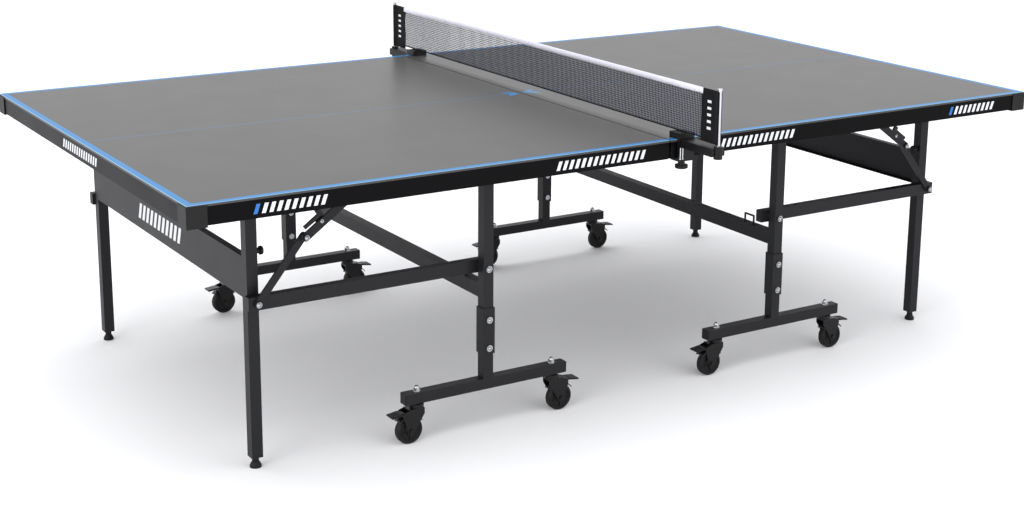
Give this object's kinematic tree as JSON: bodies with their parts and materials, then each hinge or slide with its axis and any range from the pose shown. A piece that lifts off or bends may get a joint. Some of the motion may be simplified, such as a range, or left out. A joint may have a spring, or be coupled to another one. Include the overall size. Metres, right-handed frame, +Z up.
{
  "type": "table tennis table",
  "caption": "Folding two-half table tennis table: bordered boards on wheeled trolleys with outer legs, linked folding braces, end panels and a clamped net.",
  "frame": {"origin": "on the floor below the middle of the net line, halfway between the two table ends", "axes": "+X along the table's length, -Y to the near long side, +Z up"},
  "size_m": [2.744, 1.84, 0.9205],
  "materials": {
    "board": "smooth semi-gloss composite with printed border and centre line",
    "frame_black": "satin black powder coat",
    "leg_charcoal": "satin charcoal powder coat",
    "panel_charcoal": "satin charcoal powder coat",
    "cap_plastic": "moulded",
    "zinc": "zinc plated",
    "wheel_rubber": "moulded",
    "fork_plastic": "moulded",
    "pedal_plastic": "moulded",
    "foot_rubber": "moulded",
    "net_cloth": "fine woven mesh with a pale top band",
    "post_steel": "plated",
    "clamp_plastic": "moulded"
  },
  "bodies": {
    "right_trolley": {"right_foot_frame": "leg_charcoal", "right_uprights": "leg_charcoal", "right_trolley_bolts": "zinc"},
    "right_top": {"right_board": "board", "right_top_frame": "frame_black", "right_corner_caps": "cap_plastic", "near_clamp": "clamp_plastic", "far_clamp": "clamp_plastic"},
    "right_bars": {"right_side_bars": "leg_charcoal"},
    "right_legs": {"right_leg_frame": "panel_charcoal", "right_leg_bumpers": "foot_rubber"},
    "right_lower_brace": {"right_lower_links": "leg_charcoal"},
    "right_upper_brace": {"right_upper_links": "leg_charcoal"},
    "right_near_latch_lever": {"right_near_latch": "clamp_plastic"},
    "right_near_foot": {"right_near_levelling_foot": "foot_rubber"},
    "right_near_inner_caster_swivel_part": {"right_near_inner_caster_fork": "fork_plastic"},
    "right_near_inner_caster_wheel_part": {"right_near_inner_caster_wheel": "wheel_rubber"},
    "right_near_inner_caster_brake_part": {"right_near_inner_caster_brake": "pedal_plastic"},
    "right_near_outer_caster_swivel_part": {"right_near_outer_caster_fork": "fork_plastic"},
    "right_near_outer_caster_wheel_part": {"right_near_outer_caster_wheel": "wheel_rubber"},
    "right_near_outer_caster_brake_part": {"right_near_outer_caster_brake": "pedal_plastic"},
    "right_far_latch_lever": {"right_far_latch": "clamp_plastic"},
    "right_far_foot": {"right_far_levelling_foot": "foot_rubber"},
    "right_far_inner_caster_swivel_part": {"right_far_inner_caster_fork": "fork_plastic"},
    "right_far_inner_caster_wheel_part": {"right_far_inner_caster_wheel": "wheel_rubber"},
    "right_far_inner_caster_brake_part": {"right_far_inner_caster_brake": "pedal_plastic"},
    "right_far_outer_caster_swivel_part": {"right_far_outer_caster_fork": "fork_plastic"},
    "right_far_outer_caster_wheel_part": {"right_far_outer_caster_wheel": "wheel_rubber"},
    "right_far_outer_caster_brake_part": {"right_far_outer_caster_brake": "pedal_plastic"},
    "left_trolley": {"left_foot_frame": "leg_charcoal", "left_uprights": "leg_charcoal", "left_trolley_bolts": "zinc"},
    "left_top": {"left_board": "board", "left_top_frame": "frame_black", "left_corner_caps": "cap_plastic"},
    "left_bars": {"left_side_bars": "leg_charcoal"},
    "left_legs": {"left_leg_frame": "panel_charcoal", "left_leg_bumpers": "foot_rubber"},
    "left_lower_brace": {"left_lower_links": "leg_charcoal"},
    "left_upper_brace": {"left_upper_links": "leg_charcoal"},
    "left_near_latch_lever": {"left_near_latch": "clamp_plastic"},
    "left_near_foot": {"left_near_levelling_foot": "foot_rubber"},
    "left_near_inner_caster_swivel_part": {"left_near_inner_caster_fork": "fork_plastic"},
    "left_near_inner_caster_wheel_part": {"left_near_inner_caster_wheel": "wheel_rubber"},
    "left_near_inner_caster_brake_part": {"left_near_inner_caster_brake": "pedal_plastic"},
    "left_near_outer_caster_swivel_part": {"left_near_outer_caster_fork": "fork_plastic"},
    "left_near_outer_caster_wheel_part": {"left_near_outer_caster_wheel": "wheel_rubber"},
    "left_near_outer_caster_brake_part": {"left_near_outer_caster_brake": "pedal_plastic"},
    "left_far_latch_lever": {"left_far_latch": "clamp_plastic"},
    "left_far_foot": {"left_far_levelling_foot": "foot_rubber"},
    "left_far_inner_caster_swivel_part": {"left_far_inner_caster_fork": "fork_plastic"},
    "left_far_inner_caster_wheel_part": {"left_far_inner_caster_wheel": "wheel_rubber"},
    "left_far_inner_caster_brake_part": {"left_far_inner_caster_brake": "pedal_plastic"},
    "left_far_outer_caster_swivel_part": {"left_far_outer_caster_fork": "fork_plastic"},
    "left_far_outer_caster_wheel_part": {"left_far_outer_caster_wheel": "wheel_rubber"},
    "left_far_outer_caster_brake_part": {"left_far_outer_caster_brake": "pedal_plastic"},
    "net_set": {"net": "net_cloth", "net_posts": "post_steel"},
    "near_screw": {"near_clamp_screw": "clamp_plastic"},
    "far_screw": {"far_clamp_screw": "clamp_plastic"}
  },
  "joints": [
    {"name": "right_top_fold", "type": "hinge", "parent": "right_trolley", "child": "right_top", "pos_m": [0.498, 0, 0.7], "axis": [0, -1, 0], "range_deg": [0, 90]},
    {"name": "right_bar_fold", "type": "hinge", "parent": "right_trolley", "child": "right_bars", "pos_m": [0.498, 0, 0.445], "axis": [0, -1, 0], "range_deg": [0, 90]},
    {"name": "right_leg_fold", "type": "hinge", "parent": "right_top", "child": "right_legs", "pos_m": [1.138, 0, 0.7], "axis": [0, -1, 0], "range_deg": [-90, 0]},
    {"name": "right_lower_brace_fold", "type": "hinge", "parent": "right_legs", "child": "right_lower_brace", "pos_m": [1.138, 0, 0.445], "axis": [0, -1, 0], "range_deg": [0, 163.38]},
    {"name": "right_upper_brace_fold", "type": "hinge", "parent": "right_top", "child": "right_upper_brace", "pos_m": [0.861, 0, 0.709], "axis": [0, -1, 0], "range_deg": [-117.39, 0]},
    {"name": "right_near_latch_turn", "type": "hinge", "parent": "right_upper_brace", "child": "right_near_latch_lever", "pos_m": [0.96862, -0.618, 0.63764], "axis": [0, -1, 0], "range_deg": [0, 30]},
    {"name": "right_near_foot_screw", "type": "slide", "parent": "right_legs", "child": "right_near_foot", "axis": [0, 0, 1], "range_m": [0, 0.011]},
    {"name": "right_near_inner_caster_swivel", "type": "hinge", "parent": "right_trolley", "child": "right_near_inner_caster_swivel_part", "pos_m": [0.288, -0.63, 0.1], "axis": [0, 0, 1], "continuous": true},
    {"name": "right_near_inner_caster_roll", "type": "hinge", "parent": "right_near_inner_caster_swivel_part", "child": "right_near_inner_caster_wheel_part", "pos_m": [0.263, -0.63, 0.0375], "axis": [0, 1, 0], "continuous": true},
    {"name": "right_near_inner_caster_press", "type": "hinge", "parent": "right_near_inner_caster_swivel_part", "child": "right_near_inner_caster_brake_part", "pos_m": [0.246, -0.63, 0.085], "axis": [0, -1, 0], "range_deg": [0, 10]},
    {"name": "right_near_outer_caster_swivel", "type": "hinge", "parent": "right_trolley", "child": "right_near_outer_caster_swivel_part", "pos_m": [0.708, -0.63, 0.1], "axis": [0, 0, 1], "continuous": true},
    {"name": "right_near_outer_caster_roll", "type": "hinge", "parent": "right_near_outer_caster_swivel_part", "child": "right_near_outer_caster_wheel_part", "pos_m": [0.733, -0.63, 0.0375], "axis": [0, 1, 0], "continuous": true},
    {"name": "right_near_outer_caster_press", "type": "hinge", "parent": "right_near_outer_caster_swivel_part", "child": "right_near_outer_caster_brake_part", "pos_m": [0.75, -0.63, 0.085], "axis": [0, 1, 0], "range_deg": [0, 10]},
    {"name": "right_far_latch_turn", "type": "hinge", "parent": "right_upper_brace", "child": "right_far_latch_lever", "pos_m": [0.96862, 0.618, 0.63764], "axis": [0, -1, 0], "range_deg": [0, 30]},
    {"name": "right_far_foot_screw", "type": "slide", "parent": "right_legs", "child": "right_far_foot", "axis": [0, 0, 1], "range_m": [0, 0.011]},
    {"name": "right_far_inner_caster_swivel", "type": "hinge", "parent": "right_trolley", "child": "right_far_inner_caster_swivel_part", "pos_m": [0.288, 0.63, 0.1], "axis": [0, 0, 1], "continuous": true},
    {"name": "right_far_inner_caster_roll", "type": "hinge", "parent": "right_far_inner_caster_swivel_part", "child": "right_far_inner_caster_wheel_part", "pos_m": [0.263, 0.63, 0.0375], "axis": [0, 1, 0], "continuous": true},
    {"name": "right_far_inner_caster_press", "type": "hinge", "parent": "right_far_inner_caster_swivel_part", "child": "right_far_inner_caster_brake_part", "pos_m": [0.246, 0.63, 0.085], "axis": [0, -1, 0], "range_deg": [0, 10]},
    {"name": "right_far_outer_caster_swivel", "type": "hinge", "parent": "right_trolley", "child": "right_far_outer_caster_swivel_part", "pos_m": [0.708, 0.63, 0.1], "axis": [0, 0, 1], "continuous": true},
    {"name": "right_far_outer_caster_roll", "type": "hinge", "parent": "right_far_outer_caster_swivel_part", "child": "right_far_outer_caster_wheel_part", "pos_m": [0.733, 0.63, 0.0375], "axis": [0, 1, 0], "continuous": true},
    {"name": "right_far_outer_caster_press", "type": "hinge", "parent": "right_far_outer_caster_swivel_part", "child": "right_far_outer_caster_brake_part", "pos_m": [0.75, 0.63, 0.085], "axis": [0, 1, 0], "range_deg": [0, 10]},
    {"name": "left_top_fold", "type": "hinge", "parent": "left_trolley", "child": "left_top", "pos_m": [-0.498, 0, 0.7], "axis": [0, 1, 0], "range_deg": [0, 90]},
    {"name": "left_bar_fold", "type": "hinge", "parent": "left_trolley", "child": "left_bars", "pos_m": [-0.498, 0, 0.445], "axis": [0, 1, 0], "range_deg": [0, 90]},
    {"name": "left_leg_fold", "type": "hinge", "parent": "left_top", "child": "left_legs", "pos_m": [-1.138, 0, 0.7], "axis": [0, 1, 0], "range_deg": [-90, 0]},
    {"name": "left_lower_brace_fold", "type": "hinge", "parent": "left_legs", "child": "left_lower_brace", "pos_m": [-1.138, 0, 0.445], "axis": [0, 1, 0], "range_deg": [0, 163.38]},
    {"name": "left_upper_brace_fold", "type": "hinge", "parent": "left_top", "child": "left_upper_brace", "pos_m": [-0.861, 0, 0.709], "axis": [0, 1, 0], "range_deg": [-117.39, 0]},
    {"name": "left_near_latch_turn", "type": "hinge", "parent": "left_upper_brace", "child": "left_near_latch_lever", "pos_m": [-0.96862, -0.618, 0.63764], "axis": [0, 1, 0], "range_deg": [0, 30]},
    {"name": "left_near_foot_screw", "type": "slide", "parent": "left_legs", "child": "left_near_foot", "axis": [0, 0, 1], "range_m": [0, 0.011]},
    {"name": "left_near_inner_caster_swivel", "type": "hinge", "parent": "left_trolley", "child": "left_near_inner_caster_swivel_part", "pos_m": [-0.288, -0.63, 0.1], "axis": [0, 0, 1], "continuous": true},
    {"name": "left_near_inner_caster_roll", "type": "hinge", "parent": "left_near_inner_caster_swivel_part", "child": "left_near_inner_caster_wheel_part", "pos_m": [-0.263, -0.63, 0.0375], "axis": [0, 1, 0], "continuous": true},
    {"name": "left_near_inner_caster_press", "type": "hinge", "parent": "left_near_inner_caster_swivel_part", "child": "left_near_inner_caster_brake_part", "pos_m": [-0.246, -0.63, 0.085], "axis": [0, 1, 0], "range_deg": [0, 10]},
    {"name": "left_near_outer_caster_swivel", "type": "hinge", "parent": "left_trolley", "child": "left_near_outer_caster_swivel_part", "pos_m": [-0.708, -0.63, 0.1], "axis": [0, 0, 1], "continuous": true},
    {"name": "left_near_outer_caster_roll", "type": "hinge", "parent": "left_near_outer_caster_swivel_part", "child": "left_near_outer_caster_wheel_part", "pos_m": [-0.733, -0.63, 0.0375], "axis": [0, 1, 0], "continuous": true},
    {"name": "left_near_outer_caster_press", "type": "hinge", "parent": "left_near_outer_caster_swivel_part", "child": "left_near_outer_caster_brake_part", "pos_m": [-0.75, -0.63, 0.085], "axis": [0, -1, 0], "range_deg": [0, 10]},
    {"name": "left_far_latch_turn", "type": "hinge", "parent": "left_upper_brace", "child": "left_far_latch_lever", "pos_m": [-0.96862, 0.618, 0.63764], "axis": [0, 1, 0], "range_deg": [0, 30]},
    {"name": "left_far_foot_screw", "type": "slide", "parent": "left_legs", "child": "left_far_foot", "axis": [0, 0, 1], "range_m": [0, 0.011]},
    {"name": "left_far_inner_caster_swivel", "type": "hinge", "parent": "left_trolley", "child": "left_far_inner_caster_swivel_part", "pos_m": [-0.288, 0.63, 0.1], "axis": [0, 0, 1], "continuous": true},
    {"name": "left_far_inner_caster_roll", "type": "hinge", "parent": "left_far_inner_caster_swivel_part", "child": "left_far_inner_caster_wheel_part", "pos_m": [-0.263, 0.63, 0.0375], "axis": [0, 1, 0], "continuous": true},
    {"name": "left_far_inner_caster_press", "type": "hinge", "parent": "left_far_inner_caster_swivel_part", "child": "left_far_inner_caster_brake_part", "pos_m": [-0.246, 0.63, 0.085], "axis": [0, 1, 0], "range_deg": [0, 10]},
    {"name": "left_far_outer_caster_swivel", "type": "hinge", "parent": "left_trolley", "child": "left_far_outer_caster_swivel_part", "pos_m": [-0.708, 0.63, 0.1], "axis": [0, 0, 1], "continuous": true},
    {"name": "left_far_outer_caster_roll", "type": "hinge", "parent": "left_far_outer_caster_swivel_part", "child": "left_far_outer_caster_wheel_part", "pos_m": [-0.733, 0.63, 0.0375], "axis": [0, 1, 0], "continuous": true},
    {"name": "left_far_outer_caster_press", "type": "hinge", "parent": "left_far_outer_caster_swivel_part", "child": "left_far_outer_caster_brake_part", "pos_m": [-0.75, 0.63, 0.085], "axis": [0, -1, 0], "range_deg": [0, 10]},
    {"name": "halves_roll_apart", "type": "slide", "parent": "right_trolley", "child": "left_trolley", "axis": [-1, 0, 0], "range_m": [0, 0.3]},
    {"name": "net_lift", "type": "slide", "parent": "right_top", "child": "net_set", "axis": [0, 0, 1], "range_m": [0, 0.15]},
    {"name": "near_screw_loosen", "type": "slide", "parent": "right_top", "child": "near_screw", "axis": [0, 0, -1], "range_m": [0, 0.006]},
    {"name": "far_screw_loosen", "type": "slide", "parent": "right_top", "child": "far_screw", "axis": [0, 0, -1], "range_m": [0, 0.006]}
  ],
  "couplings": [
    {"joint": "right_bar_fold", "follows": "right_top_fold", "ratio": 1},
    {"joint": "right_leg_fold", "follows": "right_top_fold", "ratio": -1},
    {"joint": "right_lower_brace_fold", "follows": "right_top_fold", "ratio": 1.8154},
    {"joint": "right_upper_brace_fold", "follows": "right_top_fold", "ratio": -1.3044},
    {"joint": "left_bar_fold", "follows": "left_top_fold", "ratio": 1},
    {"joint": "left_leg_fold", "follows": "left_top_fold", "ratio": -1},
    {"joint": "left_lower_brace_fold", "follows": "left_top_fold", "ratio": 1.8154},
    {"joint": "left_upper_brace_fold", "follows": "left_top_fold", "ratio": -1.3044}
  ]
}
